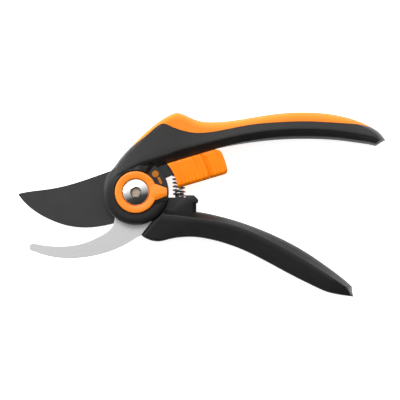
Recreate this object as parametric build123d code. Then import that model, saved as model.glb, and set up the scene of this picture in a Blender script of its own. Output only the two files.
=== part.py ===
from build123d import *
import os
from math import atan2, cos, degrees, hypot, radians, sin

# A bypass pruner lying on its back, as separate pieces. Millimetres. The origin is on the pivot axis,
# in the plane that the tool rests on. +X runs towards the handle ends, +Y towards the upper handle and
# +Z along the pivot bolt towards its head. The jaws are open.

CENTRE_MIN = (Align.CENTER, Align.CENTER, Align.MIN)

# The stack along the pivot bolt, from the back of the tool to the front.
HANDLE_THICK = 22.0
LOWER_HEAD_BACK = 1.2
NUT_TOP = 3.2
LOWER_FLOOR = 4.4
BLADE_BACK = 6.6
BLADE_THICK = 2.8
SPACER_THICK = 0.4
HOOK_THICK = 3.0
BLADE_FRONT = BLADE_BACK + BLADE_THICK
HOOK_BACK = BLADE_FRONT + SPACER_THICK
HOOK_FRONT = HOOK_BACK + HOOK_THICK
HEAD_FRONT = 20.4
DIAL_SEAT = 18.4
DIAL_FRONT = 22.0
BOLT_SEAT = 20.4
BOLT_TOP = 24.0

# Radii about the pivot.
HEAD_R = 19.6
HEAD_CLEAR_R = 20.2
SHANK_R = 4.0
BUSHING_R = 5.5
DIAL_R = 12.5
BOLT_HEAD_R = 8.1
NUT_R = 8.6
NUT_SEAT_R = 8.9
BORE_CUT_R = 5.7
SLIDER_R = (25.2, 56.6)
RUN_GAP = 0.05
PART_GAP = 0.3

# Rounding of the handles' long edges.
UPPER_CHAMFER = 3.4
UPPER_FILLET = 4.5
LOWER_FILLET = 3.0
LOWER_CHAMFER = 4.0

# Travel.
CLOSE_DEG = 26.5
SELECT_DEG = 33.0
LOCK_TRAVEL = 5.0
SLIDE_DEG = 16.5

# The lock's channel inside the upper handle: Z between its walls, and V above the slide direction.
CHANNEL_Z = (5.0, 17.0)
CHEEK_Z = (1.4, 20.6)
CHEEK_THICK = 3.2
CATCH_Z = (5.4, 16.6)
SLIDER_TOP = 11.0
SLIDER_BOTTOM = -4.85
CHANNEL_ROOF = 15.6
WEB_START = 44.0

# The return spring, from its seat on the lower handle's catch block to its seat in the upper handle.
SPRING_FOOT = (26.1, -3.2)
SPRING_HEAD = (25.0, 23.4)
SPRING_Z = 11.0
SPRING_R = 3.45
WIRE_R = 0.45
SPRING_TURNS = 12
POST_R = 2.6
SPRING_WELL_R = 4.6
SPRING_PASSAGE_R = 5.1
PASSAGE_X = 25.4
POST_LENGTH = 4.0
PLUG_DEPTH = 1.5


def prism(face, low, high):
    """The face, which lies in XY, extruded between two heights."""
    return Pos(0, 0, low) * extrude(face, high - low, dir=(0, 0, 1))


def disc(radius, low, high, x=0.0, y=0.0):
    return Pos(x, y, low) * Cylinder(radius, high - low, align=CENTRE_MIN)


def ring(outer, inner, low, high):
    return disc(outer, low, high) - disc(inner, low - 1, high + 1)


def region(*edges):
    """A flat face inside a closed run of edges."""
    return Face(Wire(list(edges)))


def turned(angle):
    """A turn about the pivot axis, in degrees."""
    return Rot(0, 0, angle)


def block(u, v, z):
    """A box in the slide's own frame: u along the slide, v across it, both from the pivot axis."""
    box = Box(u[1] - u[0], v[1] - v[0], z[1] - z[0], align=Align.MIN)
    return turned(SLIDE_DEG) * Pos(u[0], v[0], z[0]) * box


def upright_box(x, y, z):
    """A box between two values on each axis."""
    return Pos(x[0], y[0], z[0]) * Box(x[1] - x[0], y[1] - y[0], z[1] - z[0], align=Align.MIN)


def on_slide(u, v):
    """The plan position of a point given in the slide's frame."""
    a = radians(SLIDE_DEG)
    return (u * cos(a) - v * sin(a), u * sin(a) + v * cos(a))


def sector(inner, outer, start, end, low, high):
    """A piece of ring between two angles about the pivot, less than half a turn apart."""
    reach = outer * 2
    middle = (start + end) / 2
    corners = [(0, 0)]
    corners += [(reach * cos(radians(a)), reach * sin(radians(a))) for a in (start, middle, end)]
    wedge = prism(Face(Wire.make_polygon(corners, close=True)), low, high)
    return ring(outer, inner, low, high) & wedge


# ---- Outlines of the upper handle ----
HANDLE_TOP = [
    (-2.8, 27.3), (6.8, 36.4), (15.4, 43.3), (25.0, 47.5), (34.5, 43.8), (46.0, 41.8),
    (65.8, 43.9), (86.4, 47.2), (104.0, 47.9), (126.0, 44.6), (140.5, 38.9), (149.7, 31.1),
]
HANDLE_HEEL = (143.8, 27.9)
HANDLE_UNDER = [HANDLE_HEEL, (130.8, 30.5), (111.6, 32.2), (92.4, 32.3), (73.2, 30.9), (54.0, 27.7)]
GRIP_EDGE_LOW = [(-9.0, 24.6), (4.8, 32.6), (13.2, 39.1)]
GRIP_EDGE_PEAK = (16.9, 41.2)
GRIP_EDGE_HIGH = [
    (20.6, 40.0), (29.0, 37.2), (38.0, 36.1), (54.0, 38.4), (78.0, 41.9), (102.0, 43.1),
    (122.0, 42.2), (136.0, 39.9),
]
THROAT = on_slide(17.3, SLIDER_TOP + PART_GAP)
SHOULDER = [(-13.2, 15.2), (-8.4, 21.6), HANDLE_TOP[0]]
CREASE = [(-20.0, 6.0), (-5.6, 12.7), (8.6, 19.6), (19.9, 21.9), (26.4, 25.4), (42.8, 28.7)]


def handle_bar():
    """The upper handle with its grip, as one solid rounded bar without the round head."""
    face = region(
        Spline(*SHOULDER),
        Spline(*HANDLE_TOP),
        Line(HANDLE_TOP[-1], HANDLE_HEEL),
        Spline(*HANDLE_UNDER),
        Line(HANDLE_UNDER[-1], THROAT),
        Line(THROAT, (12.0, 12.0)),
        Line((12.0, 12.0), (-11.0, 11.0)),
        Line((-11.0, 11.0), SHOULDER[0]),
    )
    bar = prism(face, 0, HANDLE_THICK)
    bar = chamfer(long_rims(bar, 80, 100), UPPER_CHAMFER)
    return fillet(long_rims(bar, 120, 180), UPPER_FILLET)


def long_rims(solid, shortest, longest):
    """The edges round a solid's front and back faces whose length is in the range."""
    faces_z = (0, HANDLE_THICK)
    rims = [e for e in solid.edges() if min(abs(e.center().Z - z) for z in faces_z) < 0.01]
    return [e for e in rims if shortest < e.length < longest]


def grip_region():
    """The plan area that the soft grip takes from the upper handle: all that is above its edge."""
    end = GRIP_EDGE_HIGH[-1]
    return region(
        Spline(*GRIP_EDGE_LOW),
        ThreePointArc(GRIP_EDGE_LOW[-1], GRIP_EDGE_PEAK, GRIP_EDGE_HIGH[0]),
        Spline(*GRIP_EDGE_HIGH),
        Line(end, (end[0], 60.0)),
        Line((end[0], 60.0), (-12.0, 60.0)),
        Line((-12.0, 60.0), (-12.0, GRIP_EDGE_LOW[0][1])),
        Line((-12.0, GRIP_EDGE_LOW[0][1]), GRIP_EDGE_LOW[0]),
    )


# ---- Upper handle, grip and what is fixed inside it ----
MARK_R = 16.0
DOT_ANGLE = 43.0
BAR_ANGLE = 26.0
DETENT_R = 10.3
DETENT_ANGLE = 215.0
DETENT_BALL_R = 1.2
BALL_RISE = 0.45
HOOK_RIVETS = [(-9.5, -11.0), (9.0, 13.0)]
BLADE_RIVETS = [(-12.0, 8.5), (11.5, -9.5)]
RIVET_R = 1.8
POST_ROOF = 27.2
WELL_FLOOR = 16.0
WALL_DEG = (25.0, 50.0)
WALL_R = 24.6
STOP_X = (30.2, 33.9)
STOP_Y = (14.2, 16.6)
STOP_TOP = 27.5
RAIL_U = (46.0, 56.0)
RAIL_V = (12.6, 14.2)
RAIL_Z = (3.8, 18.2)


def handle_cavity():
    """The hollow for the spring, the catch and the slider's rail, open towards the lower handle."""
    channel = block((20.6, 56.6), (4.0, CHANNEL_ROOF), CHANNEL_Z)
    rails = block((38.0, 56.6), (RAIL_V[0] - 0.2, RAIL_V[1] + 0.2), (RAIL_Z[0] - 0.3, RAIL_Z[1] + 0.3))
    well = Cylinder(SPRING_WELL_R, POST_ROOF - WELL_FLOOR, align=CENTRE_MIN)
    spring_well = Pos(PASSAGE_X, WELL_FLOOR, SPRING_Z) * Rot(-90, 0, 0) * well
    return channel + rails + spring_well


def size_mark_face():
    """A plain dot and bar beside the dial, for the small opening."""
    dot = turned(DOT_ANGLE) * Pos(MARK_R, 0) * Circle(2.0)
    bar = turned(BAR_ANGLE) * Pos(MARK_R, 0) * RectangleRounded(1.6, 4.4, 0.75)
    return dot + bar


def spring_wall():
    """The wall between the head and the spring, hollowed where the spring passes."""
    wall = sector(HEAD_R - 0.8, WALL_R, *WALL_DEG, HOOK_FRONT, CHANNEL_Z[1])
    wall += sector(HEAD_CLEAR_R, WALL_R, *WALL_DEG, CHANNEL_Z[0], HOOK_FRONT)
    passage = Cylinder(SPRING_PASSAGE_R, 24.0, align=CENTRE_MIN)
    return wall - Pos(PASSAGE_X, 0.0, SPRING_Z) * Rot(-90, 0, 0) * passage


def upper_handle_whole():
    bar = handle_bar()
    below_crease = region(
        Spline(*CREASE),
        Line(CREASE[-1], (42.8, -10.0)),
        Line((42.8, -10.0), (-20.0, -10.0)),
        Line((-20.0, -10.0), CREASE[0]),
    )
    bar -= prism(below_crease, HEAD_FRONT, HANDLE_THICK + 1)
    head = disc(HEAD_R, HOOK_FRONT, HEAD_FRONT)
    head = chamfer(head.edges().sort_by(Axis.Z)[-1], 1.4)
    whole = bar - disc(HEAD_CLEAR_R, -1, HOOK_FRONT)
    whole += head
    whole -= disc(DIAL_R + PART_GAP, DIAL_SEAT, HANDLE_THICK + 1)
    whole -= sector(DIAL_R, HEAD_R + 2, -27, 60, DIAL_SEAT, HANDLE_THICK + 1)
    return whole - handle_cavity() + spring_wall()


def at_detent(piece):
    a = radians(DETENT_ANGLE)
    return Pos(DETENT_R * cos(a), DETENT_R * sin(a), 0) * piece


def build_upper():
    whole = upper_handle_whole()
    grip_zone = prism(grip_region(), -1, HANDLE_THICK + 1)
    handle = whole - grip_zone
    handle -= disc(SHANK_R + RUN_GAP, 0, DIAL_SEAT + 1)
    ball_z = DIAL_SEAT - DETENT_BALL_R + BALL_RISE
    handle -= at_detent(disc(DETENT_BALL_R + RUN_GAP, ball_z - 3.2, DIAL_SEAT + 1))
    for x, y in HOOK_RIVETS:
        handle -= disc(RIVET_R, HOOK_FRONT - 1, HOOK_FRONT + 3.5, x, y)
    handle -= prism(size_mark_face(), DIAL_SEAT - 0.6, DIAL_SEAT + 0.01)
    handle += upright_box(STOP_X, (STOP_Y[1], STOP_TOP), (6.5, 15.5))
    yield "upper_handle", handle
    yield "upper_grip", whole & grip_zone
    yield "stop_pad", upright_box((STOP_X[0] + 0.4, STOP_X[1] - 0.6), STOP_Y, (7.0, 15.0))
    yield "size_mark", prism(size_mark_face(), DIAL_SEAT - 0.6, DIAL_SEAT + 0.25)
    yield "detent_ball", at_detent(Pos(0, 0, ball_z) * Sphere(DETENT_BALL_R))
    yield "detent_spring", at_detent(ring(1.1, 0.5, ball_z - 3.1, ball_z - 1.1))


def build_hook():
    inner = [(-12.7, -15.2), (-14.2, -20.6), (-21.6, -26.3), (-32.4, -30.7), (-46.8, -32.4), (-61.0, -30.7)]
    outer = [(-61.2, -35.4), (-50.4, -38.7), (-39.6, -39.6), (-25.2, -38.1), (-10.8, -33.5), (0.0, -27.3)]
    face = region(
        Spline(*inner),
        ThreePointArc(inner[-1], (-64.0, -32.6), outer[0]),
        Spline(*outer),
        Line(outer[-1], (3.0, -25.9)),
        Line((3.0, -25.9), (9.9, -17.2)),
        Line((9.9, -17.2), inner[0]),
    )
    plate = prism(face, HOOK_BACK, HOOK_FRONT) + disc(HEAD_R - 0.4, HOOK_BACK, HOOK_FRONT)
    plate -= disc(SHANK_R + RUN_GAP, 0, HANDLE_THICK)
    rivets = []
    for x, y in HOOK_RIVETS:
        plate -= disc(RIVET_R, 0, HANDLE_THICK, x, y)
        rivets.append(disc(RIVET_R, HOOK_BACK, HOOK_FRONT + 3.4, x, y))
    yield "hook_blade", plate
    yield "hook_rivets", Compound(rivets)


# ---- Pivot ----
def build_pivot():
    dome_r = (BOLT_HEAD_R**2 + (BOLT_TOP - BOLT_SEAT - 1) ** 2) / (2 * (BOLT_TOP - BOLT_SEAT - 1))
    head = disc(BOLT_HEAD_R, BOLT_SEAT, BOLT_TOP) & Pos(0, 0, BOLT_TOP - dome_r) * Sphere(dome_r)
    socket = Pos(0, 0, BOLT_TOP - 2.9) * extrude(RegularPolygon(2.75, 6, major_radius=False), 4)
    bolt = head + disc(SHANK_R, 0, BOLT_SEAT) - socket
    yield "pivot_bolt", bolt
    nut = ring(NUT_R, SHANK_R, 0, NUT_TOP)
    for side in (-1, 1):
        nut -= Pos(side * 6.6, 0, -0.1) * Cylinder(0.9, 1.8, align=CENTRE_MIN)
    yield "pivot_nut", nut
    yield "pivot_bushing", ring(BUSHING_R, SHANK_R + RUN_GAP, LOWER_FLOOR - 0.15, HOOK_BACK)
    yield "spring_washer", ring(7.8, SHANK_R + RUN_GAP, NUT_TOP, LOWER_FLOOR - 0.15)
    yield "spacer_disc", ring(11.0, BUSHING_R + RUN_GAP, BLADE_FRONT + 0.05, HOOK_BACK)
    yield "dial_washer", ring(5.6, SHANK_R + RUN_GAP, DIAL_SEAT, BOLT_SEAT)


# ---- Opening selector ----
def build_dial():
    tab_face = region(
        Line((10.5, 5.5), (18.5, 2.5)),
        ThreePointArc((18.5, 2.5), (18.9, 0.2), (18.7, -2.1)),
        Line((18.7, -2.1), (10.5, -5.4)),
        Line((10.5, -5.4), (10.5, 5.5)),
    )
    low = DIAL_SEAT + 0.5
    body = disc(DIAL_R, DIAL_SEAT + RUN_GAP, DIAL_FRONT) + prism(tab_face, low, DIAL_FRONT)
    body = chamfer(body.edges().filter_by(lambda e: e.center().Z > DIAL_FRONT - 0.01), 0.7)
    body -= disc(BORE_CUT_R, 0, HANDLE_THICK)
    body -= disc(BOLT_HEAD_R + 0.15, BOLT_SEAT - RUN_GAP, HANDLE_THICK + 1)
    low_angle = DETENT_ANGLE - SELECT_DEG
    groove = sector(DETENT_R - 1.1, DETENT_R + 1.1, low_angle - 8, DETENT_ANGLE + 8, 0, DIAL_SEAT + 0.6)
    yield "selector_dial", body - groove


# ---- Lock slider ----
def build_lock():
    back, front = CHEEK_Z
    shape = block((20.0, 60.0), (SLIDER_BOTTOM, SLIDER_TOP), (back, front))
    shape = shape & disc(SLIDER_R[1], back, front)
    shape -= disc(SLIDER_R[0], 0, HANDLE_THICK)
    bottom = [e for e in shape.edges() if 28 < e.length < 34 and e.center().Y < 9]
    shape = chamfer([e for e in bottom if min(abs(e.center().Z - z) for z in CHEEK_Z) < 0.01], 1.2)
    inner = (back + CHEEK_THICK, front - CHEEK_THICK)
    shape -= block((18.0, WEB_START), (SLIDER_BOTTOM - 1, SLIDER_TOP + 1), inner)
    rail_z = (CHANNEL_Z[0] + PART_GAP, CHANNEL_Z[1] - PART_GAP)
    rail = block(RAIL_U, (SLIDER_TOP - 0.1, RAIL_V[1]), rail_z)
    lugs = block(RAIL_U, RAIL_V, RAIL_Z)
    tongue_z = (8.5, 13.5)
    tongue = block((38.9, 50.0), (-0.9, 0.6), tongue_z)
    slider = shape + (rail + lugs)
    slider -= block((WEB_START - 1, 50.0), (-0.9, 0.6), tongue_z)
    slider -= block((46.9, 55.1), (RAIL_V[1] - 0.9, RAIL_V[1] + 1), (8.0, 14.0))
    yield "lock_slider", slider
    yield "lock_tongue", tongue
    yield "lock_leaf", block((47.2, 54.8), (RAIL_V[1] + 0.15, RAIL_V[1] + 0.5), (8.6, 13.4))


# ---- Lower handle, blade and catch ----
LOWER_TOE = (130.7, -62.7)
LOWER_END = (129.8, -56.8)
LOWER_UNDER = [
    (3.7, -26.2), (11.8, -29.4), (20.4, -28.1), (32.0, -26.7), (49.2, -29.5), (68.4, -36.7), (92.4, -49.3),
    (111.6, -58.5), LOWER_TOE,
]
LOWER_OVER = [
    LOWER_END, (116.4, -45.8), (97.2, -33.1), (78.0, -23.6), (58.8, -16.7), (36.5, -11.5),
]
CATCH_TOP = -3.2


def catch_notch():
    """The slot in the catch for the slider's tongue, where it is with the handles open."""
    slot = block((33.2, 42.0), (-1.3, 0.95), (8.1, 13.9))
    return turned(-CLOSE_DEG) * slot


def build_lower():
    face = region(
        Spline(*LOWER_UNDER),
        Line(LOWER_TOE, LOWER_END),
        Spline(*LOWER_OVER),
        Line(LOWER_OVER[-1], (19.0, -11.3)),
        Line((19.0, -11.3), (12.0, -15.0)),
        Line((12.0, -15.0), (10.4, -17.6)),
        Line((10.4, -17.6), LOWER_UNDER[0]),
    )
    bar = prism(face, 0, HANDLE_THICK)
    bar = fillet(long_rims(bar, 130, 180), LOWER_FILLET)
    bar = chamfer(long_rims(bar, 90, 118), LOWER_CHAMFER)
    bar -= disc(HEAD_CLEAR_R, LOWER_HEAD_BACK + 5.4, HANDLE_THICK + 1)
    bar -= disc(HEAD_CLEAR_R, -1, LOWER_HEAD_BACK)
    handle = bar + disc(HEAD_R, LOWER_HEAD_BACK, BLADE_BACK)
    handle -= disc(NUT_SEAT_R, -1, LOWER_FLOOR)
    handle -= disc(BUSHING_R + RUN_GAP, -1, HANDLE_THICK)
    catch_face = region(
        Line((15.0, -18.0), (15.0, CATCH_TOP)),
        Line((15.0, CATCH_TOP), (29.4, CATCH_TOP)),
        Line((29.4, CATCH_TOP), (30.2, -1.8)),
        Line((30.2, -1.8), (34.8, -1.9)),
        Line((34.8, -1.9), (37.5, -4.6)),
        Line((37.5, -4.6), (37.1, -6.5)),
        Line((37.1, -6.5), (36.2, -6.8)),
        Line((36.2, -6.8), (36.2, -18.0)),
        Line((36.2, -18.0), (15.0, -18.0)),
    )
    catch_shape = prism(catch_face, *CATCH_Z) - disc(HEAD_R + RUN_GAP, 0, BLADE_BACK)
    catch_shape -= disc(HEAD_R + PART_GAP, BLADE_BACK, HANDLE_THICK)
    catch = catch_shape - catch_notch()
    handle -= catch_shape
    rivets = []
    for x, y in BLADE_RIVETS:
        handle -= disc(RIVET_R, -1, HANDLE_THICK, x, y)
        rivets.append(disc(RIVET_R, LOWER_HEAD_BACK, BLADE_FRONT, x, y))
    yield "lower_handle", handle
    yield "catch_block", catch
    yield "blade_rivets", Compound(rivets)


def build_blade():
    spine = [(-14.0, 13.2), (-22.8, 10.1), (-37.2, 5.3), (-51.6, 2.0), (-64.0, 0.4), (-70.5, -0.9)]
    edge = [
        (-70.6, -1.6), (-63.6, -9.2), (-51.6, -16.5), (-42.0, -19.9), (-30.0, -21.3), (-18.0, -19.9),
        (-13.3, -18.8),
    ]
    face = region(
        Spline(*spine),
        Line(spine[-1], edge[0]),
        Spline(*edge),
        Line(edge[-1], (-11.0, -14.0)),
        Line((-11.0, -14.0), spine[0]),
    )
    plate = prism(face, BLADE_BACK, BLADE_FRONT)
    ground = [e for e in plate.edges() if 60 < e.length < 80 and abs(e.center().Z - BLADE_BACK) < 0.01]
    low = [e for e in ground if e.center().Y < -5]
    plate = chamfer(low, 2.2)
    plate += disc(HEAD_R - 0.4, BLADE_BACK, BLADE_FRONT)
    plate -= disc(BUSHING_R + RUN_GAP, 0, HANDLE_THICK)
    for x, y in BLADE_RIVETS:
        plate -= disc(RIVET_R, 0, HANDLE_THICK, x, y)
    yield "cutting_blade", plate


# ---- Return spring and its seats ----
def along_spring(piece):
    """A piece made along +Z from the origin, moved to stand on the spring's foot along its axis."""
    dx = SPRING_HEAD[0] - SPRING_FOOT[0]
    dy = SPRING_HEAD[1] - SPRING_FOOT[1]
    lean = degrees(atan2(-dx, dy))
    return Pos(*SPRING_FOOT, SPRING_Z) * Rot(0, 0, lean) * Rot(-90, 0, 0) * piece


def build_spring():
    length = hypot(SPRING_HEAD[0] - SPRING_FOOT[0], SPRING_HEAD[1] - SPRING_FOOT[1])
    rise = length - 2 * WIRE_R - 0.8
    path = Helix(pitch=rise / SPRING_TURNS, height=rise, radius=SPRING_R)
    profile = Plane(origin=path @ 0, z_dir=path % 0) * Circle(WIRE_R)
    coil = sweep(profile, path=path)
    yield "return_spring", along_spring(Pos(0, 0, WIRE_R + 0.4) * coil)
    yield "lower_spring_seat", along_spring(disc(POST_R, -PLUG_DEPTH, POST_LENGTH))
    yield "upper_spring_seat", along_spring(disc(POST_R, length - POST_LENGTH, length + PLUG_DEPTH))


os.makedirs("parts", exist_ok=True)
nodes = {}
for maker in (
    build_upper, build_hook, build_pivot, build_dial, build_lock, build_lower, build_blade, build_spring,
):
    nodes.update(dict(maker()))

# A spring seat's plug is a press fit in a hole of its own.
nodes["catch_block"] -= nodes["lower_spring_seat"]
nodes["upper_handle"] -= nodes["upper_spring_seat"]
nodes["upper_handle"] -= nodes["lock_leaf"]

for name, solid in nodes.items():
    export_step(solid, f"parts/{name}.step")
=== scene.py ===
# A bypass pruner lying on a pale floor, seen from straight above. Sizes are in millimetres until
# they become vertices, and all places are from the pivot axis and the plane that the tool rests on.
import math

import bmesh
import bpy
import numpy as np
from mathutils import Matrix, Vector

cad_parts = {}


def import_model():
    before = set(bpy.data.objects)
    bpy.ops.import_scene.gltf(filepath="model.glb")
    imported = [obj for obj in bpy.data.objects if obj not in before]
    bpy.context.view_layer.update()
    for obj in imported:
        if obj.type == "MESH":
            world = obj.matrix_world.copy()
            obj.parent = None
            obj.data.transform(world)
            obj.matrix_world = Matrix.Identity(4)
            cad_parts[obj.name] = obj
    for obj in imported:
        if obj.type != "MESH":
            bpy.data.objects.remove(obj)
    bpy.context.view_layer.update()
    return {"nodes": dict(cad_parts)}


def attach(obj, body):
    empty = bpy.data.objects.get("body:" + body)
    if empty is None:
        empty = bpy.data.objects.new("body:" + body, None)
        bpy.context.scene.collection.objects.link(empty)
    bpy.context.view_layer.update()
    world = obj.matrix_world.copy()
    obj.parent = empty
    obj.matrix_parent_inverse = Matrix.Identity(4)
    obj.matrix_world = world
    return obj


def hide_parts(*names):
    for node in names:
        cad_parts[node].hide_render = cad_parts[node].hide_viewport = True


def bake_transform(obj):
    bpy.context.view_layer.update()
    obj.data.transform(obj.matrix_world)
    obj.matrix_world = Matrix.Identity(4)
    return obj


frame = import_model()

MM = 0.001
THICK = 22.0
MID = THICK / 2
ABOVE = THICK + 5
BELOW = -1.0
WELD = 2e-6
HEAD_R = 19.6
HEAD_CLEAR_R = 20.2
HEAD_BACK = 12.8
HEAD_FRONT = 20.4
DIAL_SEAT = 18.4
DIAL_R = 12.5
DIAL_BORE_R = DIAL_R + 0.35
SLIDE_DEG = 16.5
LOWER_HEAD = (1.2, 6.6)
CHANNEL_Z = (5.0, 17.0)
PASSAGE_X = 25.4
PASSAGE_R = 5.1


# ---- Curves and meshes ----
def smooth_curve(knots, values, at):
    """A natural cubic spline through values at the knots, read at the places in at."""
    x, y = np.asarray(knots, float), np.asarray(values, float)
    h = np.diff(x)
    n = len(x)
    system = np.eye(n)
    right = np.zeros((n, y.shape[1]))
    slope = np.diff(y, axis=0) / h[:, None]
    for i in range(1, n - 1):
        system[i, i - 1:i + 2] = h[i - 1], 2 * (h[i - 1] + h[i]), h[i]
        right[i] = 6 * (slope[i] - slope[i - 1])
    bend = np.linalg.solve(system, right)
    k = np.clip(np.searchsorted(x, at, side="right") - 1, 0, n - 2)
    a = (x[k + 1] - at)[:, None]
    b = (at - x[k])[:, None]
    w = h[k][:, None]
    cubic = (bend[k] * a**3 + bend[k + 1] * b**3) / (6 * w)
    return cubic + (y[k] / w - bend[k] * w / 6) * a + (y[k + 1] / w - bend[k + 1] * w / 6) * b


def chord(points):
    """How far along its chords each point of a curve lies."""
    steps = np.linalg.norm(np.diff(np.asarray(points, float), axis=0), axis=1)
    return np.concatenate([[0], np.cumsum(steps)])


def make_object(name, vertices, faces, sharp_deg=32):
    """A mesh object from vertices in millimetres, smooth except at edges sharper than the angle."""
    mesh = bpy.data.meshes.new(name)
    mesh.from_pydata([tuple(v) for v in np.asarray(vertices, float) * MM], [], faces)
    obj = bpy.data.objects.new(name, mesh)
    bpy.context.scene.collection.objects.link(obj)
    tidy_mesh(obj, sharp_deg)
    return obj


def tidy_mesh(obj, sharp_deg=32):
    """Welds the mesh, turns its faces outwards and marks its sharp edges."""
    b = bmesh.new()
    b.from_mesh(obj.data)
    bmesh.ops.remove_doubles(b, verts=b.verts, dist=WELD)
    bmesh.ops.recalc_face_normals(b, faces=b.faces)
    limit = math.radians(sharp_deg)
    for face in b.faces:
        face.smooth = True
    for edge in b.edges:
        edge.smooth = len(edge.link_faces) == 2 and edge.calc_face_angle(0) < limit
    b.to_mesh(obj.data)
    b.free()


def loft(name, sections, sharp_deg=32, ladder_ends=False):
    """A closed skin over closed sections, which all have the same number of points.

    Its ends are one flat face each, or a ladder of faces between a section's front and back halves.
    """
    sections = np.asarray(sections, float)
    rows, count = sections.shape[:2]
    faces = []
    for r in range(rows - 1):
        for c in range(count):
            d = (c + 1) % count
            faces.append((r * count + c, r * count + d, (r + 1) * count + d, (r + 1) * count + c))
    for first in (0, (rows - 1) * count):
        if ladder_ends:
            for c in range(count // 2 - 1):
                faces.append((first + c, first + c + 1, first + count - 2 - c, first + count - 1 - c))
        else:
            faces.append(tuple(range(first, first + count)))
    return make_object(name, sections.reshape(-1, 3), faces, sharp_deg)


def closed_loft(name, sections, sharp_deg=32):
    """A ring-shaped skin over closed sections, the last joined to the first."""
    sections = np.asarray(sections, float)
    rows, count = sections.shape[:2]
    faces = []
    for r in range(rows):
        s = (r + 1) % rows
        for c in range(count):
            d = (c + 1) % count
            faces.append((r * count + c, r * count + d, s * count + d, s * count + c))
    return make_object(name, sections.reshape(-1, 3), faces, sharp_deg)


def prism(name, outline, low, high):
    """A straight-sided solid from a plan outline."""
    count = len(outline)
    vertices = [(x, y, z) for z in (low, high) for x, y in outline]
    faces = [tuple(reversed(range(count))), tuple(range(count, 2 * count))]
    faces += [(i, (i + 1) % count, (i + 1) % count + count, i + count) for i in range(count)]
    return make_object(name, vertices, faces)


def arc(radius, start, end, steps, x=0.0, y=0.0):
    """Plan points on an arc, with its angles in degrees."""
    angles = np.radians(np.linspace(start, end, steps + 1))
    return [(x + radius * math.cos(a), y + radius * math.sin(a)) for a in angles]


def disc(name, radius, low, high, x=0.0, y=0.0, sides=128):
    return prism(name, arc(radius, 0, 360, sides, x, y)[:-1], low, high)


def slide_block(name, u, v, z):
    """A box in the lock's frame: u along the slide and v across it, both from the pivot axis."""
    corners = [(u[0], v[0]), (u[1], v[0]), (u[1], v[1]), (u[0], v[1])]
    return prism(name, [on_slide(*c) for c in corners], *z)


def on_slide(u, v):
    a = math.radians(SLIDE_DEG)
    return (u * math.cos(a) - v * math.sin(a), u * math.sin(a) + v * math.cos(a))


def wedge(name, start, end, away, slope, top):
    """A cutter above a plane that starts along a level line at height top and falls away from it."""
    a, b, out = np.array(start), np.array(end), np.array(away)
    low = top - slope * np.linalg.norm(out)
    vertices = [(*a, top), (*b, top), (*(b + out), low), (*(a + out), low)]
    vertices += [(x, y, ABOVE) for x, y, _ in vertices]
    faces = [(0, 1, 2, 3), (4, 5, 6, 7), (0, 1, 5, 4), (1, 2, 6, 5), (2, 3, 7, 6), (3, 0, 4, 7)]
    return make_object(name, vertices, faces)


def apply_modifiers(obj):
    graph = bpy.context.evaluated_depsgraph_get()
    made = bpy.data.meshes.new_from_object(obj.evaluated_get(graph))
    obj.modifiers.clear()
    obj.data = made


def combine(obj, other, how):
    """Joins another solid to this one or cuts it away: how is UNION, DIFFERENCE or INTERSECT."""
    step = obj.modifiers.new("shape", "BOOLEAN")
    step.operation, step.solver, step.object = how, "EXACT", other
    apply_modifiers(obj)
    bpy.data.objects.remove(other)
    tidy_mesh(obj)


def ease(obj, width):
    """Rounds every edge that is sharper than 30 degrees, by a width in millimetres."""
    step = obj.modifiers.new("ease", "BEVEL")
    step.width, step.segments, step.limit_method = width * MM, 3, "ANGLE"
    step.use_clamp_overlap = True
    apply_modifiers(obj)
    tidy_mesh(obj, sharp_deg=50)
    level = 0.999
    for face in obj.data.polygons:
        face.use_smooth = abs(face.normal.z) < level
    return obj


def eased_copy(name, node, width):
    """A CAD node's shape with its edges rounded."""
    made = bpy.data.objects.new(name, frame["nodes"][node].data.copy())
    bpy.context.scene.collection.objects.link(made)
    b = bmesh.new()
    b.from_mesh(made.data)
    bmesh.ops.remove_doubles(b, verts=b.verts, dist=WELD)
    flat = math.radians(0.4)
    bmesh.ops.dissolve_limit(
        b, angle_limit=flat, verts=b.verts, edges=b.edges, use_dissolve_boundaries=False
    )
    b.to_mesh(made.data)
    b.free()
    return ease(made, width)


def cut(obj, *others):
    for other in others:
        combine(obj, other, "DIFFERENCE")


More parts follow.
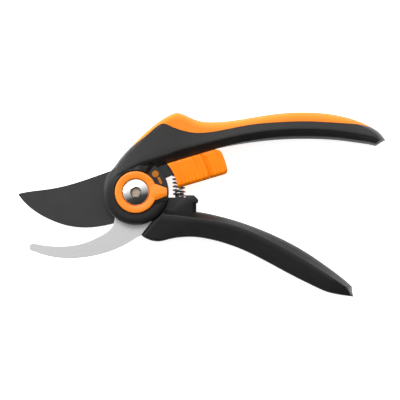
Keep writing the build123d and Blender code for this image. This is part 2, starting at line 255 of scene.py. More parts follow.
# ---- Materials ----
class Nodes:
    """A material being built: each call adds a node and links what it is given."""

    def __init__(self, name):
        self.material = bpy.data.materials.new(name)
        self.material.use_nodes = True
        self.tree = self.material.node_tree
        self.shader = self.tree.nodes["Principled BSDF"]

    def add(self, kind, inputs=(), **settings):
        node = self.tree.nodes.new("ShaderNode" + kind)
        for key, value in settings.items():
            setattr(node, key, value)
        for key, value in dict(inputs).items():
            if isinstance(value, bpy.types.NodeSocket):
                self.tree.links.new(value, node.inputs[key])
            else:
                node.inputs[key].default_value = value
        return node

    def place(self, scale=(1, 1, 1)):
        """Object coordinates, scaled."""
        source = self.add("TexCoord").outputs["Object"]
        return self.add("Mapping", {"Vector": source, "Scale": scale}).outputs["Vector"]

    def noise(self, vector, scale, detail=3.0, rough=0.5):
        inputs = {"Vector": vector, "Scale": scale, "Detail": detail, "Roughness": rough}
        return self.add("TexNoise", inputs).outputs["Fac"]

    def spread(self, value, low, high):
        """A value from 0 to 1, mapped to another range."""
        inputs = {"Value": value, "From Min": 0.25, "From Max": 0.75, "To Min": low, "To Max": high}
        return self.add("MapRange", inputs).outputs["Result"]

    def mix(self, value, start, end):
        """A colour between two others, each of them an RGBA value or a node's output."""
        return self.add("Mix", {"Factor": value, "A": start, "B": end}, data_type="RGBA").outputs["Result"]

    def colour(self, value, dark, light):
        """A colour that follows a noise value."""
        return self.mix(self.spread(value, 0, 1), (*dark, 1), (*light, 1))

    def bump(self, height, distance):
        inputs = {"Height": height, "Distance": distance, "Strength": 1.0}
        self.link("Normal", self.add("Bump", inputs).outputs["Normal"])

    def plan(self, vector):
        """A vector's plan coordinates, its height and its distance from the vertical axis."""
        axes = self.add("SeparateXYZ", {"Vector": vector}).outputs
        level = self.add("CombineXYZ", {"X": axes["X"], "Y": axes["Y"]}).outputs["Vector"]
        radius = self.add("VectorMath", {0: level}, operation="LENGTH").outputs["Value"]
        return axes["X"], axes["Y"], axes["Z"], radius

    def link(self, socket, value):
        self.tree.links.new(value, self.shader.inputs[socket])

    def set(self, **values):
        for key, value in values.items():
            self.shader.inputs[key.replace("_", " ")].default_value = value


def plastic(name, dark, light, rough, grain=0.00003, specular=0.5):
    """Moulded plastic: a fine spark-eroded grain, with slow changes in colour and gloss."""
    m = Nodes(name)
    where = m.place()
    m.link("Base Color", m.colour(m.noise(where, 60, 2), dark, light))
    m.link("Roughness", m.spread(m.noise(where, 240), *rough))
    m.bump(m.noise(where, 2600, 2, 0.6), grain)
    m.set(Specular_IOR_Level=specular)
    return m.material


def bare_metal(m, streaks, dark, light, rough):
    """Finishes a metal: its colour, gloss and fine relief follow the streaks."""
    m.link("Base Color", m.colour(streaks, dark, light))
    m.link("Roughness", m.spread(streaks, rough[1], rough[0]))
    m.bump(streaks, 0.00001)
    m.set(Metallic=1.0)
    return m.material


def metal(name, dark, light, rough, stretch):
    """Bare metal with marks drawn out in one direction."""
    m = Nodes(name)
    return bare_metal(m, m.noise(m.place(stretch), 1.0, 4, 0.65), dark, light, rough)


def arc_brushed(name, dark, light, rough, centre):
    """Bare metal brushed along arcs about a centre in plan, in millimetres."""
    m = Nodes(name)
    where = m.add("TexCoord").outputs["Object"]
    start = (centre[0] * MM, centre[1] * MM, 0)
    out = m.add("VectorMath", {0: where, 1: start}, operation="SUBTRACT").outputs["Vector"]
    x, y, z, radius = m.plan(out)
    turn = m.add("Math", {0: y, 1: x}, operation="ARCTAN2").outputs["Value"]
    fine = m.add("Math", {0: radius, 1: 2600.0}, operation="MULTIPLY").outputs["Value"]
    slow = m.add("Math", {0: turn, 1: 7.0}, operation="MULTIPLY").outputs["Value"]
    lines = m.add("CombineXYZ", {"X": fine, "Y": slow, "Z": z}).outputs["Vector"]
    return bare_metal(m, m.noise(lines, 1.0, 4, 0.7), dark, light, rough)


SOCKET_FLOOR_Z = 21.2
# Radius out to which the dark painted shade reaches round the socket's mouth.
SOCKET_RIM_R = 3.2
# Dark brown painted shade for the socket's walls and the ring round its mouth, which lie in shadow.
PAINTED_SOCKET_SHADE = (0.05, 0.042, 0.035, 1)


def polished_bolt():
    """Polished steel; the socket's walls and a thin ring of the dome round its mouth carry a dark brown
    painted shade, and its floor is stained.
    """
    m = Nodes("chrome")
    where = m.place()
    marks = m.noise(where, 500, 3, 0.6)
    height, radius = m.plan(where)[2:]
    bright = m.colour(marks, (0.78, 0.77, 0.76), (0.86, 0.85, 0.84))
    stained = m.colour(marks, (0.36, 0.29, 0.21), (0.52, 0.44, 0.34))

    def past(measure, start, width):
        limits = {"Value": measure, "From Min": start * MM, "From Max": (start + width) * MM}
        return m.add("MapRange", limits).outputs["Result"]

    outside = past(radius, SOCKET_RIM_R, 0.25)
    # Painted shade: dark brown on the socket's walls and on the dome's ring round the mouth; the floor
    # keeps its stain.
    socket = m.mix(past(height, SOCKET_FLOOR_Z, 0.2), stained, PAINTED_SOCKET_SHADE)
    m.link("Base Color", m.mix(outside, socket, bright))
    rough = m.add("MapRange", {"Value": outside, "To Min": 0.5, "To Max": 0.11})
    m.link("Roughness", rough.outputs["Result"])
    m.bump(marks, 0.000003)
    m.set(Metallic=1.0)
    return m.material


def grey(level):
    return (level, level, level)


HANDLE_BLACK = plastic(
    "handle_black", (0.010, 0.0097, 0.0094), (0.014, 0.0136, 0.0131), (0.36, 0.46), specular=0.4
)
# The same black plastic as the upper handle, with a darker base colour as painted shade for the lower
# handle and the catch block.
SHADED_LOWER_BLACK = plastic("lower_black_shaded", grey(0.006), grey(0.010), (0.4, 0.5), specular=0.3)
GRIP_ORANGE = plastic(
    "grip_orange", (0.82, 0.215, 0.006), (0.88, 0.24, 0.012), (0.5, 0.62), 0.00004, 0.28
)
LOCK_ORANGE = plastic(
    "lock_orange", (0.93, 0.215, 0.0), (0.97, 0.238, 0.0), (0.34, 0.44), 0.00002, 0.25
)
DIAL_ORANGE = plastic(
    "dial_orange", (0.94, 0.225, 0.004), (0.98, 0.265, 0.012), (0.32, 0.42), 0.00002
)
MARK_ORANGE = plastic(
    "mark_orange", (0.38, 0.12, 0.0), (0.47, 0.155, 0.002), (0.4, 0.5), 0.00001, 0.3
)
SEAT_BLACK = plastic("seat_black", grey(0.03), grey(0.045), (0.45, 0.6))
PAD_BLACK = plastic("pad_black", grey(0.012), grey(0.02), (0.7, 0.85), 0.00006)
BLADE_BLACK = plastic("blade_black", grey(0.010), grey(0.016), (0.38, 0.5), 0.00001)
HOOK_STEEL = arc_brushed("hook_steel", grey(0.58), grey(0.73), (0.32, 0.46), (-46.8, 20.3))
CHROME = polished_bolt()
SPRING_STEEL = metal("spring_steel", grey(0.42), grey(0.6), (0.22, 0.36), (500, 500, 500))
ZINC = metal("zinc", (0.45, 0.46, 0.47), (0.6, 0.6, 0.62), (0.3, 0.45), (300, 300, 300))
BRASS = metal("brass", (0.6, 0.42, 0.16), (0.75, 0.56, 0.26), (0.25, 0.4), (200, 200, 2500))


# ---- Upper handle: each station has its outer edge, grip edge, crease and inner edge ----
UPPER_STATIONS = [
    ((-13.4, 14.6), (-12.9, 14.5), (-11.0, 10.0), (-8.0, 6.0)),
    ((-8.4, 21.5), (-8.0, 21.2), (-6.0, 12.9), (-3.0, 7.0)),
    ((-2.8, 27.5), (-2.4, 27.1), (0.5, 16.4), (4.0, 10.0)),
    ((6.8, 36.8), (8.1, 35.4), (8.6, 19.2), (9.5, 13.2)),
    ((15.4, 43.5), (16.5, 41.0), (14.8, 21.0), (14.4, 15.9)),
    ((20.2, 46.3), (20.8, 39.4), (19.0, 22.2), (19.3, 17.4)),
    ((25.0, 47.7), (25.4, 37.5), (23.4, 24.0), (24.2, 18.9)),
    ((30.2, 46.0), (30.4, 36.1), (28.6, 25.8), (29.6, 20.5)),
    ((37.1, 43.1), (37.0, 35.3), (35.3, 27.5), (36.4, 22.5)),
    ((46.0, 42.1), (46.0, 36.0), (44.6, 29.8), (45.9, 25.3)),
    ((65.8, 44.2), (65.3, 39.7), (65.8, 34.5), (66.5, 29.4)),
    ((86.4, 47.3), (86.2, 41.8), (86.4, 37.1), (87.0, 31.6)),
    ((104.0, 47.9), (104.0, 42.2), (104.0, 37.6), (104.0, 32.0)),
    ((126.0, 45.0), (125.2, 41.1), (124.0, 36.1), (123.4, 30.9)),
    ((140.5, 39.4), (140.1, 38.8), (138.2, 33.7), (136.0, 29.2)),
    ((146.5, 35.3), (146.2, 35.1), (143.5, 32.3), (140.3, 28.5)),
    ((149.7, 31.1), (149.4, 31.0), (147.6, 30.3), (143.8, 27.7)),
]
CREASE_Z = 21.9
GRIP_EDGE_Z = 21.25
LIP_DROP = 2.6
LIP_Z = (19.2, 18.4)
LIP_SHARE = (0.3, 0.04)
GRIP_START = 2
GRIP_END = 14
GRIP_RAMP = 9.0
GRIP_PROUD = 0.05


def upper_curves(count):
    """The four edges of the bar, sampled together."""
    columns = list(zip(*UPPER_STATIONS))
    knots = chord(columns[0])
    at = np.linspace(0, knots[-1], count)
    return knots, at, [smooth_curve(knots, c, at) for c in columns]


def quarter(start, end, low, high, steps):
    """Points round an edge, from a wall at height low to a face at height high."""
    out = []
    for a in np.linspace(0, math.pi / 2, steps + 1):
        place = start + (end - start) * (1 - math.cos(a))
        out.append(np.append(place, low + (high - low) * math.sin(a)))
    return out


def mirrored(front):
    """A closed section from its front half, which runs from the outer edge to the inner edge."""
    back = [(x, y, THICK - z) for x, y, z in reversed(front[1:-1])]
    return [tuple(p) for p in front] + back


def face_height(d, outer_crease, rounding):
    """Height of the front face at a distance in from the outer edge: it rises to the crease."""
    fullness = 2.3
    flat = GRIP_EDGE_Z + (CREASE_Z - GRIP_EDGE_Z) * min(d / outer_crease, 1) ** 1.2
    rest = 1 - min(d / rounding, 1)
    return MID + (flat - MID) * (1 - rest**fullness) ** (1 / fullness)


def outer_steps(limit):
    """Distances from the outer edge up to a limit, closer together where the surface turns."""
    return limit * (1 - np.cos(np.linspace(0, math.pi / 2, 13)))


def limited_inset(inset, width):
    """The grip's depth, which is held back where the grip is narrow."""
    return min(inset, 0.6 * width)


def thinned(front, keep):
    """A whole section from its front half, pressed towards the middle plane."""
    squeeze = np.array([1, 1, keep])
    offset = np.array([0, 0, MID * (1 - keep)])
    return mirrored([p * squeeze + offset for p in front])


def upper_section(outer, edge, crease, inner, inset, rounding, boxy, keep):
    """A section of the rigid handle: it lies lower by inset where the grip covers it."""
    width = max(np.linalg.norm(edge - outer), 0.2)
    inset = limited_inset(inset, width)
    toward = (edge - outer) / max(np.linalg.norm(edge - outer), 1e-6)
    span = width + np.linalg.norm(crease - edge)
    front = []
    for d in outer_steps(width):
        height = face_height(d, span, rounding)
        low = height - inset * (height - MID) / MID
        front.append(np.append(outer + toward * (d + inset * (1 - d / width)), low))
    for share in (0.012, 0.05, 0.1, 0.16, 0.24, 0.45, 0.7, 0.93):
        height = face_height(width + (span - width) * share, span, rounding)
        front.append(np.append(edge + (crease - edge) * share, height))
    front.append(np.append(crease, CREASE_Z - 0.08))
    lip = inner + (crease - inner) * (LIP_SHARE[0] * (1 - boxy) + LIP_SHARE[1] * boxy)
    lip_z = LIP_Z[0] * (1 - boxy) + LIP_Z[1] * boxy
    for share in (0.08, 0.3, 0.55, 0.8, 0.97):
        dip = 0.25 * math.sin(math.pi * share) * (1 - boxy)
        height = CREASE_Z + (lip_z - CREASE_Z) * share - dip
        front.append(np.append(crease + (lip - crease) * share, height))
    wall_z = lip_z - LIP_DROP
    for share in (0.25, 0.5, 0.75, 1.0):
        front.append(np.append(lip + (inner - lip) * share, lip_z - LIP_DROP * share))
    for share in (0.35, 0.7, 1.0):
        front.append(np.append(inner, wall_z + (MID - wall_z) * share))
    return thinned(front, keep)


def step_between(at, low, high):
    """Rises smoothly from 0 at low to 1 at high."""
    t = np.clip((at - low) / (high - low), 0, 1)
    return t * t * (3 - 2 * t)


def end_rounding(at, last, radius=2.0):
    """How much of its thickness a section keeps near the bar's end."""
    past = np.clip((at - (last - radius)) / radius, 0, 1)
    return np.sqrt(1 - (past * 0.75) ** 2)


def grip_inset(knots, at):
    """How deep the grip lies in the handle: nothing before its start and after its end."""
    rise = np.clip((at - knots[GRIP_START]) / GRIP_RAMP, 0, 1)
    fall = np.clip((knots[GRIP_END] - at) / GRIP_RAMP, 0, 1)
    amount = rise * fall
    return amount * amount * (3 - 2 * amount)


def bar_rows():
    """The bar's edges and how its section changes along it."""
    knots, at, (outer, edge, crease, inner) = upper_curves(190)
    inset = grip_inset(knots, at)
    rounding = 2.4 + 2.0 * step_between(at, knots[3], knots[8])
    boxy = 1 - step_between(at, knots[9], knots[11])
    keep = end_rounding(at, knots[-1])
    return zip(outer, edge, crease, inner, inset, rounding, boxy, keep)


def upper_bar():
    return loft("upper_handle_shell", [upper_section(*row) for row in bar_rows()])


def grip():
    """The soft overmould: its outer skin is flush with the rigid handle at its edges."""
    sections = []
    thinnest = 0.01
    for outer, edge, crease, _, inset, rounding, _, _ in bar_rows():
        if inset < thinnest:
            continue
        width = np.linalg.norm(edge - outer)
        toward = (edge - outer) / width
        span = width + np.linalg.norm(crease - edge)
        depth = limited_inset(inset, width) * 1.1
        skin, inside = [], []
        for d in outer_steps(width * 0.985):
            height = face_height(d, span, rounding) + GRIP_PROUD
            skin.append(tuple(np.append(outer + toward * d, height)))
            lower = height - depth * (height - MID) / MID
            inside.append(tuple(np.append(outer + toward * (d + depth * (1 - d / width)), lower)))
        back = [(x, y, THICK - z) for x, y, z in reversed(skin[1:])]
        back_inside = [(x, y, THICK - z) for x, y, z in inside[1:]]
        sections.append(back + skin + list(reversed(inside)) + back_inside)
    return loft("soft_grip", sections)


def head_shell():
    """The round head: its rim rises at the left to meet the bar's face."""
    rim, drop = 4.8, 2.6
    inner_r = 3.0
    sections = []
    for deg in np.arange(0, 360, 2.0):
        lift = 1.15 * step_between(deg, 62, 85) * (1 - step_between(deg, 150, 235))
        top = HEAD_FRONT + lift
        profile = [(inner_r, HEAD_BACK), (HEAD_R, HEAD_BACK)]
        for a in np.linspace(0, math.pi / 2, 10):
            profile.append((HEAD_R - rim * (1 - math.cos(a)), top - drop * (1 - math.sin(a))))
        profile += [(DIAL_BORE_R + 0.55, top + 0.12), (DIAL_BORE_R, top - 0.2)]
        profile += [(DIAL_BORE_R, DIAL_SEAT), (inner_r, DIAL_SEAT)]
        a = math.radians(deg)
        sections.append([(r * math.cos(a), r * math.sin(a), z) for r, z in profile])
    return closed_loft("head", sections)


def upper_handle():
    shell = upper_bar()
    cut(shell, disc("back_clear", HEAD_CLEAR_R, BELOW, HEAD_BACK - 0.01))
    cut(shell, disc("seat_clear", DIAL_BORE_R, DIAL_SEAT - 2, THICK + 1))
    combine(shell, head_shell(), "UNION")
    cut(shell, tab_recess())
    cut(shell, slide_block("channel", (20.6, 56.6), (4.0, 15.6), CHANNEL_Z))
    combine(shell, slide_block("shade", (21.5, 34.0), (10.3, 12.0), (4.5, 6.4)), "UNION")
    combine(shell, spring_wall(), "UNION")
    return shell


def tab_recess():
    """A cutter for the recess that the dial's tab turns in, with sloping ends."""
    floor_ends = (-38, -12, 56)
    top_ends = (-45, -16, 66)
    rings = []
    for ends, z in ((floor_ends, DIAL_SEAT), (top_ends, 20.6), (top_ends, 24)):
        low_inner, low_outer, high = ends
        inner = arc(DIAL_R - 1, low_inner, high, 40)
        outer = arc(HEAD_R + 0.25, high, low_outer, 40)
        rings.append([(x, y, z) for x, y in inner + outer])
    return loft("tab_recess", rings, ladder_ends=True)


def spring_wall():
    """The wall between the head and the spring, hollowed where the spring passes."""
    start, end, outer_r = 25, 52, 25.9
    outline = arc(HEAD_R - 0.8, start, end, 14) + arc(outer_r, end, start, 14)
    wall = prism("spring_wall", outline, *CHANNEL_Z)
    cut(wall, disc("wall_clear", HEAD_CLEAR_R, 4, HEAD_BACK))
    passage = disc("passage", PASSAGE_R, -1, 24)
    turn = Matrix.Rotation(math.radians(-90), 4, "X")
    passage.data.transform(Matrix.Translation(Vector((PASSAGE_X, 0, MID)) * MM) @ turn)
    cut(wall, passage)
    return wall


# ---- Lower handle: stations with its upper edge, ridge and lower edge ----
LOWER_STATIONS = [
    ((14.0, -6.5), (12.5, -9.5), (0.5, -19.0)),
    ((19.3, -10.4), (16.9, -13.2), (3.7, -26.2)),
    ((25.0, -11.3), (23.5, -13.9), (12.2, -29.5)),
    ((31.0, -11.5), (30.5, -14.8), (20.4, -28.1)),
    ((38.5, -12.0), (37.5, -15.7), (32.0, -26.8)),
    ((47.0, -13.6), (45.7, -17.0), (42.5, -27.9)),
    ((58.8, -16.7), (57.0, -19.4), (52.5, -30.4)),
    ((73.2, -21.7), (70.0, -24.2), (64.5, -34.8)),
    ((87.6, -28.0), (84.0, -31.1), (78.0, -41.5)),
    ((102.0, -35.9), (98.5, -39.4), (94.0, -50.1)),
    ((116.4, -45.8), (112.5, -48.0), (109.0, -57.5)),
    ((126.0, -53.3), (122.5, -54.5), (121.2, -61.3)),
    ((129.6, -56.6), (127.6, -57.9), (130.5, -62.6)),
]
LOWER_EDGE_Z = (15.0, 18.4)
SHOULDER_SHARE = 0.12
SHOULDER_Z = 20.2
RIDGE_DROP = 5.5


def lower_section(over, ridge, under, keep):
    """A section of the lower handle, worked from its lower edge to its upper edge."""
    shoulder = under + (ridge - under) * SHOULDER_SHARE
    front = [np.append(under, z) for z in (MID, LOWER_EDGE_Z[0])]
    front += quarter(under, shoulder, LOWER_EDGE_Z[1], SHOULDER_Z, 8)
    for share in (0.2, 0.45, 0.7, 0.95):
        height = SHOULDER_Z + (THICK - SHOULDER_Z) * share**0.9
        front.append(np.append(shoulder + (ridge - shoulder) * share, height))
    for share in (0.05, 0.35, 0.65, 0.95):
        height = THICK - RIDGE_DROP * share
        front.append(np.append(ridge + (over - ridge) * share * 0.85, height))
    start = ridge + (over - ridge) * 0.81
    for a in np.linspace(0, math.pi / 2, 6)[1:]:
        place = start + (over - start) * math.sin(a)
        front.append(np.append(place, MID + 5.3 * math.cos(a)))
    return thinned(front, keep)


HOOK_CLEAR = [(-0.6, -31.7), (13.8, -13.2), (-6.0, -8.0), (-12.0, -30.0)]
HOOK_CLEAR_Z = 9.6
NUT_SEAT_R = 8.9
NUT_SEAT_Z = 4.4
BUSH_HOLE_R = 5.55


def lower_handle():
    columns = list(zip(*LOWER_STATIONS))
    knots = chord(columns[0])
    at = np.linspace(0, knots[-1], 150)
    curves = [smooth_curve(knots, c, at) for c in columns]
    keep = end_rounding(at, knots[-1])
    shell = loft("lower_handle_shell", [lower_section(*row) for row in zip(*curves, keep)])
    cut(shell, disc("head_clear", HEAD_CLEAR_R, LOWER_HEAD[1], THICK + 1))
    cut(shell, disc("head_back_clear", HEAD_CLEAR_R, BELOW, LOWER_HEAD[0]))
    cut(shell, prism("hook_clear", HOOK_CLEAR, HOOK_CLEAR_Z, THICK + 1))
    cut(shell, wedge("end_bevel", (21.2, -7.2), (4.5, -30.6), (-10.0, 7.1), 1.0, THICK))
    combine(shell, disc("lower_head", HEAD_R, *LOWER_HEAD), "UNION")
    cut(shell, disc("nut_seat", NUT_SEAT_R, BELOW, NUT_SEAT_Z))
    cut(shell, disc("bush_hole", BUSH_HOLE_R, BELOW, 8))
    return shell


# ---- Return spring ----
SPRING_FOOT = Vector((26.1, -3.2, MID))
SPRING_HEAD = Vector((25.0, 23.4, MID))
SPRING_R = 3.45
WIRE_R = 0.5
SPRING_TURNS = 11.5
STEPS_PER_TURN = 40
SPRING_GAP = 0.05
WIRE_SIDES = 12


def return_spring():
    """An open coil on the line between its seats."""
    axis = SPRING_HEAD - SPRING_FOOT
    up = axis.normalized()
    side = Vector((0, 0, 1))
    across = up.cross(side)
    steps = int(SPRING_TURNS * STEPS_PER_TURN)
    low, high = WIRE_R + SPRING_GAP, axis.length - WIRE_R - SPRING_GAP
    around = [2 * math.pi * j / WIRE_SIDES for j in range(WIRE_SIDES)]
    sections = []
    for t in np.linspace(0, 1, steps + 1):
        a = 2 * math.pi * SPRING_TURNS * t
        out = side * math.cos(a) + across * math.sin(a)
        centre = SPRING_FOOT + up * (low + (high - low) * t) + out * SPRING_R
        tangent = (across * math.cos(a) - side * math.sin(a)).normalized()
        normal = tangent.cross(out).normalized()
        loop = [centre + (out * math.cos(b) + normal * math.sin(b)) * WIRE_R for b in around]
        sections.append([tuple(point) for point in loop])
    return loft("spring_coil", sections, sharp_deg=80)


# ---- Lock slider ----
SLIDER_R = (25.2, 56.6)
SLIDER_V = (-4.85, 11.0)
SLIDER_Z = (1.4, 20.6)
SLIDER_BEVEL = 1.5
RIB_PITCH = 2.2
RIB_DEPTH = 0.2
LOW_CORNER_R = 2.4
HIGH_CORNER_R = 3.2
END_EDGE_R = 0.7


def corner_trim(r, radius):
    """How far a rounded corner draws in the slider's side at a distance from the pivot."""
    past = min(max(r - (SLIDER_R[1] - radius), 0), radius)
    return radius - math.sqrt(radius**2 - past**2)


def plateau(r, start, full, fading, end):
    """Rises from 0 to 1 between start and full, and falls back between fading and end."""
    return step_between(r, start, full) * (1 - step_between(r, fading, end))


def slider_height(r, v):
    """The slider's front face: a thumb rest with a raised band and ribs that fade upwards."""
    rest = 0.95 * plateau(r, 26.5, 31.0, 52.0, 55.5)
    band = 0.95 * plateau(r, 39.3, 40.6, 44.2, 45.4)
    groove = 0.4 * plateau(r, 41.2, 42.2, 42.4, 43.4) + 0.7 * plateau(r, 45.0, 45.6, 46.2, 47.6)
    ribbed = plateau(r, 27.5, 29.0, 38.0, 39.3) + plateau(r, 45.5, 46.5, 53.5, 54.5)
    fade = 1 - 0.75 * step_between(v, -3.0, 6.0)
    ribs = RIB_DEPTH * ribbed * fade * (1 + math.cos(2 * math.pi * r / RIB_PITCH))
    return SLIDER_Z[1] - rest + band - groove - ribs - corner_trim(r, END_EDGE_R)


def slider_body():
    """The slider's solid outside, with rounded ends and a bevelled lower edge."""
    sections = []
    for r in np.linspace(*SLIDER_R, 190):
        low = SLIDER_V[0] + corner_trim(r, LOW_CORNER_R)
        high = SLIDER_V[1] - corner_trim(r, HIGH_CORNER_R)
        low_edge = slider_height(r, low)
        front = [
            (low, low_edge - SLIDER_BEVEL - 0.1),
            (low + 0.1, low_edge - SLIDER_BEVEL + 0.2),
            (low + SLIDER_BEVEL, low_edge - 0.1),
        ]
        for v in np.linspace(low + SLIDER_BEVEL + 0.25, high - 0.6, 12):
            front.append((v, slider_height(r, v)))
        for v, sink in ((high - 0.2, 0.12), (high, 0.5)):
            front.append((v, slider_height(r, v) - sink))
        both = front + [(v, THICK - z) for v, z in reversed(front)]
        sections.append([(*on_slide(math.sqrt(r**2 - v**2), v), z) for v, z in both])
    return loft("lock_button", sections, ladder_ends=True)


def lock_slider():
    slider = slider_body()
    cut(slider, slide_block("slot", (18.0, 44.0), (-6.0, 12.0), (4.6, 17.4)))
    combine(slider, slide_block("top_fin", (29.6, 47.0), (9.5, 12.2), (15.6, 17.6)), "UNION")
    cut(slider, slide_block("fin_clear", (29.0, 47.0), (11.0, 13.0), (16.8, 18.0)))
    combine(slider, slide_block("rail", (46.0, 53.0), (10.0, 14.2), (5.3, 16.7)), "UNION")
    combine(slider, slide_block("lugs", (46.0, 53.0), (12.6, 14.2), (3.8, 18.2)), "UNION")
    cut(slider, slide_block("leaf_slot", (46.9, 55.1), (13.3, 15.0), (8.0, 14.0)))
    cut(slider, slide_block("tongue_slot", (43.0, 50.0), (-0.9, 0.6), (8.5, 13.5)))
    return slider


# ---- Opening selector ----
DIAL_FRONT = 22.0
DIAL_FLOOR = 20.35
DIAL_SKIRT = DIAL_SEAT + 0.05
DIAL_ROUND = 0.8
BOLT_RECESS_R = 8.25
DIAL_HOLE_R = 5.7
TAB_BACK = DIAL_SEAT + 0.5
TAB_UPPER = ((10.5, 5.5), (18.5, 2.5))
TAB_LOWER = ((18.7, -2.1), (10.5, -5.4))
TAB_R = 18.85
TAB_DEG = 30


def ray_to_line(deg, line):
    """How far from the pivot a ray at an angle meets a line."""
    (x0, y0), (x1, y1) = line
    dx, dy = x1 - x0, y1 - y0
    c, s = math.cos(math.radians(deg)), math.sin(math.radians(deg))
    return (x0 * dy - y0 * dx) / (c * dy - s * dx)


def dial_reach(deg):
    """The dial's outer edge: a round ring with a tapered tab."""
    if not -TAB_DEG < deg < TAB_DEG:
        return DIAL_R
    return max(DIAL_R, min(ray_to_line(deg, TAB_UPPER), ray_to_line(deg, TAB_LOWER), TAB_R))


def selector_dial():
    angles = sorted(set(np.arange(-180, 180, 2.0)) | set(np.arange(-TAB_DEG, TAB_DEG, 0.5)))
    sections = []
    for deg in angles:
        reach = dial_reach(deg)
        profile = [(DIAL_HOLE_R, DIAL_SKIRT), (DIAL_HOLE_R, DIAL_FLOOR)]
        profile += [(BOLT_RECESS_R, DIAL_FLOOR), (BOLT_RECESS_R, DIAL_FRONT - 0.35)]
        profile += [(BOLT_RECESS_R + 0.1, DIAL_FRONT - 0.1), (BOLT_RECESS_R + 0.35, DIAL_FRONT)]
        for a in np.linspace(0, math.pi / 2, 7):
            edge_r = reach - DIAL_ROUND * (1 - math.sin(a))
            profile.append((edge_r, DIAL_FRONT - DIAL_ROUND * (1 - math.cos(a))))
        profile += [(reach, TAB_BACK), (DIAL_R - 0.1, TAB_BACK), (DIAL_R - 0.1, DIAL_SKIRT)]
        c, s = math.cos(math.radians(deg)), math.sin(math.radians(deg))
        sections.append([(r * c, r * s, z) for r, z in profile])
    dial = closed_loft("opening_dial", sections)
    cut(dial, wedge("tab_facet", (11.0, -3.2), (21.0, 0.2), (1.9, -5.0), 0.5, DIAL_FRONT))
    return dial


# ---- Catch block on the lower handle ----
CATCH_OUTLINE = [
    (15.0, -18.0), (36.2, -18.0), (36.2, -6.8), (37.1, -6.5), (37.5, -4.6), (34.8, -1.9), (30.2, -1.8),
    (29.4, -3.2), (15.0, -3.2),
]
CATCH_Z = (5.4, 16.6)
CATCH_STEP = [(34.1, -20), (38, -20), (38, -6.3), (34.1, -6.3)]
CATCH_STEP_Z = (14.0, 20.0)
CLOSE_DEG = 26.5


def catch_block():
    block = prism("catch", CATCH_OUTLINE, *CATCH_Z)
    cut(block, prism("side_step", CATCH_STEP, *CATCH_STEP_Z))
    ease(block, 0.45)
    cut(block, disc("head_clear", HEAD_R + 0.3, 0, THICK))
    gap = arc(HEAD_R - 0.2, -60, -9.3, 20) + arc(21.0, -9, -60, 20)
    combine(block, prism("gap_floor", gap, CATCH_Z[0], LOWER_HEAD[1]), "UNION")
    slot = slide_block("notch", (33.2, 42.0), (-1.3, 0.95), (8.1, 13.9))
    slot.data.transform(Matrix.Rotation(math.radians(-CLOSE_DEG), 4, "Z"))
    cut(block, slot)
    return block


# ---- Pivot bolt ----
BOLT_R = 8.1
BOLT_SEAT = 20.4
BOLT_TOP = 24.0
BOLT_EDGE = 1.0
BOLT_SKIRT = 0.75
BOLT_CORNER = 0.25
SHANK_R = 4.0
SHANK_CHAMFER = 0.3
SOCKET_R = 3.18
SOCKET_DEPTH = 2.9


def socket_mouth():
    """A cone that opens the top of the socket."""
    rings = ((SOCKET_R - 0.5, BOLT_TOP - 0.85), (SOCKET_R + 0.35, BOLT_TOP + 0.1))
    return loft("mouth", [[(x, y, z) for x, y in arc(r, 0, 360, 48)[:-1]] for r, z in rings])


def pivot_bolt():
    """A domed head with a hexagon socket on a plain shank."""
    drop = BOLT_TOP - BOLT_SEAT - BOLT_EDGE
    sphere_r = (BOLT_R**2 + drop**2) / (2 * drop)
    profile = [(SHANK_R - SHANK_CHAMFER, 0.0), (SHANK_R, SHANK_CHAMFER), (SHANK_R, BOLT_SEAT)]
    profile += [(BOLT_R, BOLT_SEAT), (BOLT_R, BOLT_SEAT + BOLT_SKIRT)]
    for r in np.linspace(BOLT_R - BOLT_CORNER, 0, 24)[:-1]:
        profile.append((r, BOLT_TOP - sphere_r + math.sqrt(sphere_r**2 - r**2)))
    turns = np.radians(np.arange(0, 360, 3))
    rows = [[(r * math.cos(a), r * math.sin(a), z) for a in turns] for r, z in profile]
    bolt = loft("domed_bolt", rows)
    hexagon = arc(SOCKET_R, 0, 360, 6)[:-1]
    cut(bolt, prism("socket", hexagon, BOLT_TOP - SOCKET_DEPTH, BOLT_TOP + 1), socket_mouth())
    return bolt


# ---- Pieces ----
def show(piece, body, material, slot_name, *nodes):
    """Finishes a piece: its material, the body that it rides and the nodes that it stands for."""
    piece.data.materials.clear()
    piece.data.materials.append(material)
    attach(piece, body)
    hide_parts(*nodes)


show(upper_handle(), "upper_body", HANDLE_BLACK, "handle_plastic", "upper_handle")
show(grip(), "upper_body", GRIP_ORANGE, "grip_rubber", "upper_grip")
show(lower_handle(), "lower_body", SHADED_LOWER_BLACK, "lower_handle_plastic", "lower_handle")

spring = return_spring()
spring.data.materials.append(SPRING_STEEL)
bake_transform(spring)
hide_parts("return_spring")

show(lock_slider(), "lock_body", LOCK_ORANGE, "orange_plastic", "lock_slider")
show(selector_dial(), "selector_body", DIAL_ORANGE, "orange_plastic", "selector_dial")
show(catch_block(), "lower_body", SHADED_LOWER_BLACK, "lower_handle_plastic", "catch_block")
show(pivot_bolt(), "upper_body", CHROME, "bolt_chrome", "pivot_bolt")
hook = eased_copy("anvil_hook", "hook_blade", 0.18)
show(hook, "upper_body", HOOK_STEEL, "hook_steel", "hook_blade")
blade = eased_copy("coated_blade", "cutting_blade", 0.15)
show(blade, "lower_body", BLADE_BLACK, "blade_coating", "cutting_blade")
nut = eased_copy("pin_nut", "pivot_nut", 0.3)
show(nut, "upper_body", ZINC, "hardware_steel", "pivot_nut")

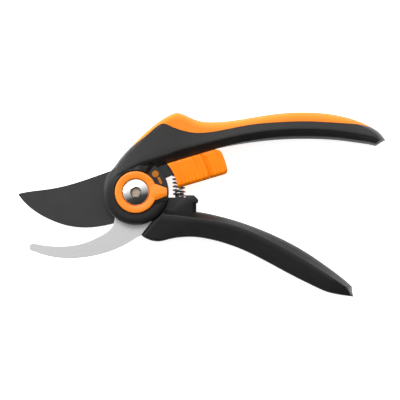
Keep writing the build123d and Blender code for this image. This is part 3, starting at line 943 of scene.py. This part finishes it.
CAD_MATERIALS = {
    "size_mark": MARK_ORANGE,
    "pivot_bushing": BRASS,
    "stop_pad": PAD_BLACK,
    "upper_spring_seat": SEAT_BLACK,
    "lower_spring_seat": SEAT_BLACK,
    "spacer_disc": SEAT_BLACK,
}
for node, obj in frame["nodes"].items():
    material = CAD_MATERIALS.get(node, ZINC)
    for place in obj.material_slots:
        place.material = material


# ---- Floor, light and camera ----
VIEW_CENTRE = (38.4 * MM, -4.7 * MM)
VIEW_WIDTH = 0.240
LENS = 400.0
SENSOR = 36.0
LIGHT_TARGET = (0.04, 0.0, 0.01)


def floor():
    half, depth = 3.0, -0.0002
    corners = [(-half, -half, depth), (half, -half, depth), (half, half, depth), (-half, half, depth)]
    mesh = bpy.data.meshes.new("floor")
    mesh.from_pydata(corners, [], [(0, 1, 2, 3)])
    obj = bpy.data.objects.new("floor", mesh)
    bpy.context.scene.collection.objects.link(obj)
    m = Nodes("floor_white")
    m.set(Base_Color=(0.9, 0.9, 0.9, 1), Roughness=0.9)
    m.set(Emission_Color=(1, 1, 1, 1), Emission_Strength=0.85)
    mesh.materials.append(m.material)


def soft_light(name, place, size, power):
    """A square light that faces the middle of the object."""
    data = bpy.data.lights.new(name, "AREA")
    data.shape, data.size, data.energy = "SQUARE", size, power
    obj = bpy.data.objects.new(name, data)
    obj.location = place
    obj.rotation_mode = "QUATERNION"
    obj.rotation_quaternion = (Vector(LIGHT_TARGET) - Vector(place)).to_track_quat("-Z", "Y")
    bpy.context.scene.collection.objects.link(obj)


def camera():
    data = bpy.data.cameras.new("camera")
    data.lens, data.sensor_width = LENS, SENSOR
    obj = bpy.data.objects.new("camera", data)
    height = VIEW_WIDTH * LENS / SENSOR + MID * MM
    obj.location = (*VIEW_CENTRE, height)
    bpy.context.scene.collection.objects.link(obj)
    bpy.context.scene.camera = obj
    data.clip_end = height * 4


SKY_LEVELS = [(0.0, 0.01), (0.3, 0.03), (0.5, 0.26), (0.68, 0.55), (0.85, 0.65), (1.0, 0.4)]
SKY_STRENGTH = 2.3
SKY_BRIGHT_SIDE = (-0.3, 0.95, 0.0)


def world():
    """A studio sky: bright over the top edge of the view and dark over the bottom edge."""
    made = bpy.data.worlds.new("studio")
    made.use_nodes = True
    tree = made.node_tree
    where = tree.nodes.new("ShaderNodeTexCoord").outputs["Generated"]
    towards = tree.nodes.new("ShaderNodeVectorMath")
    towards.operation = "DOT_PRODUCT"
    towards.inputs[1].default_value = SKY_BRIGHT_SIDE
    tree.links.new(where, towards.inputs[0])
    level = tree.nodes.new("ShaderNodeMapRange")
    level.inputs["From Min"].default_value = -1.0
    tree.links.new(towards.outputs["Value"], level.inputs["Value"])
    ramp = tree.nodes.new("ShaderNodeValToRGB")
    steps = ramp.color_ramp.elements
    while len(steps) < len(SKY_LEVELS):
        steps.new(0.5)
    for step, (place, level_here) in zip(steps, SKY_LEVELS):
        step.position = place
        step.color = (*grey(level_here), 1)
    tree.links.new(level.outputs["Result"], ramp.inputs["Fac"])
    background = tree.nodes["Background"]
    tree.links.new(ramp.outputs["Color"], background.inputs["Color"])
    background.inputs["Strength"].default_value = SKY_STRENGTH
    bpy.context.scene.world = made


floor()
world()
soft_light("key_top", (-0.3, 0.85, 1.3), size=0.7, power=14)
soft_light("fill_left", (-1.1, 0.25, 0.6), size=0.5, power=4)
camera()
bpy.context.scene.view_settings.view_transform = "Standard"
